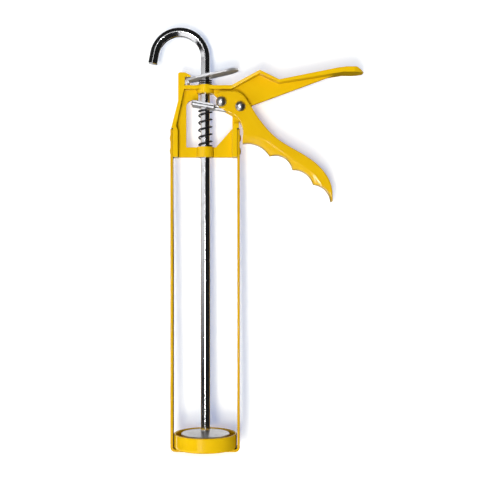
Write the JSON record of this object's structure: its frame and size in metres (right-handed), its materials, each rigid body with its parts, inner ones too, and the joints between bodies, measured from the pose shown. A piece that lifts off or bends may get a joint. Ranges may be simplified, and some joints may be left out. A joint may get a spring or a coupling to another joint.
{
  "type": "caulking gun",
  "caption": "Skeleton-frame caulking gun: a hooked push rod, a squeeze trigger under a fixed handle, and an open cradle with a front cup for a sealant cartridge.",
  "frame": {"origin": "on the push rod's axis, at the underside of the strap feet", "axes": "+Z along the push rod towards the hook, +X towards the trigger and the handle, +Y through the thickness of the frame"},
  "size_m": [0.1722, 0.0504, 0.3382],
  "materials": {
    "yellow_paint": "glossy powder coat",
    "painted_rivet": "glossy powder coat over a rivet head",
    "polished_steel": "polished",
    "plated_steel": "bright zinc plate, faintly brushed",
    "chromed_rod": "bright drawn bar",
    "zinc_disc": "turned zinc plate",
    "spring_steel": "dark drawn wire"
  },
  "bodies": {
    "frame": {"body_casting": "yellow_paint", "strap_left": "yellow_paint", "strap_right": "yellow_paint", "front_cup": "yellow_paint", "strap_rivet_left_lower": "painted_rivet", "strap_rivet_left_upper": "painted_rivet", "strap_rivet_right_lower": "painted_rivet", "strap_rivet_right_upper": "painted_rivet", "foot_rivet_left": "painted_rivet", "foot_rivet_right": "painted_rivet", "pivot_rivet": "polished_steel", "main_spring": "spring_steel", "catch_spring": "spring_steel"},
    "trigger": {"trigger": "yellow_paint", "drive_rivet": "polished_steel", "drive_roller": "polished_steel"},
    "drive": {"drive_plate_upper": "plated_steel", "drive_plate_lower": "plated_steel"},
    "rod": {"push_rod": "chromed_rod", "pusher_disc": "zinc_disc", "disc_nut": "plated_steel"},
    "catch": {"catch_plate": "plated_steel"}
  },
  "joints": [
    {"name": "trigger_squeeze", "type": "hinge", "parent": "frame", "child": "trigger", "pos_m": [0.028, 0, 0.2746], "axis": [0, -1, 0], "range_deg": [0, 28], "stiffness_Nm_per_rad": 0.35, "springref_deg": -34.38},
    {"name": "drive_travel", "type": "slide", "parent": "frame", "child": "drive", "axis": [0, 0, -1], "range_m": [0, 0.0077], "deforming": ["main_spring"]},
    {"name": "rod_slide", "type": "slide", "parent": "frame", "child": "rod", "axis": [0, 0, 1], "range_m": [0, 0.2175]},
    {"name": "catch_press", "type": "hinge", "parent": "frame", "child": "catch", "pos_m": [-0.0149, 0, 0.296], "axis": [0, 1, 0], "range_deg": [0, 8], "stiffness_Nm_per_rad": 0.08, "springref_deg": -28.65, "deforming": ["catch_spring"]}
  ],
  "couplings": [
    {"joint": "drive_travel", "follows": "trigger_squeeze", "m_per_rad": 0.01545}
  ]
}
